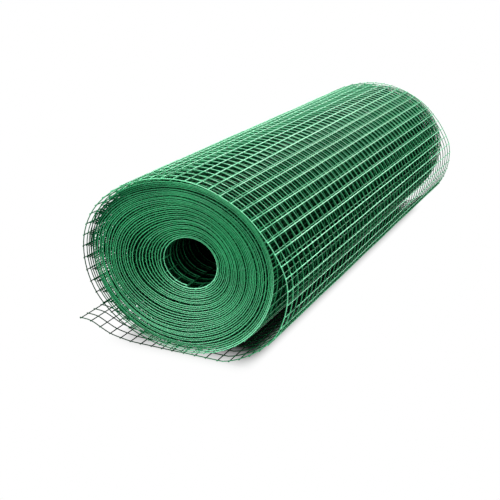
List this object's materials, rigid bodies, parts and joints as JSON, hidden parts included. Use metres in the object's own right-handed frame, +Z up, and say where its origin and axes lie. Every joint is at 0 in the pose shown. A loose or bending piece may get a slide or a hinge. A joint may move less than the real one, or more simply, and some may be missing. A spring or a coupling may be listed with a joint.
{
  "type": "roll of wire fencing",
  "caption": "Roll of green plastic-coated welded wire fencing with square mesh, lying on its side, its last stretch unwound flat on the floor.",
  "frame": {"origin": "on the bore's axis, halfway along the roll", "axes": "+Y along the bore, away from the front end; +Z up; the loose end lies towards -X"},
  "size_m": [0.239, 0.6108, 0.183],
  "materials": {
    "coated_wire": "semi-gloss green plastic coat on galvanized steel wire"
  },
  "bodies": {
    "root": {"mesh_roll": "coated_wire", "loose_end": "coated_wire"}
  },
  "joints": []
}
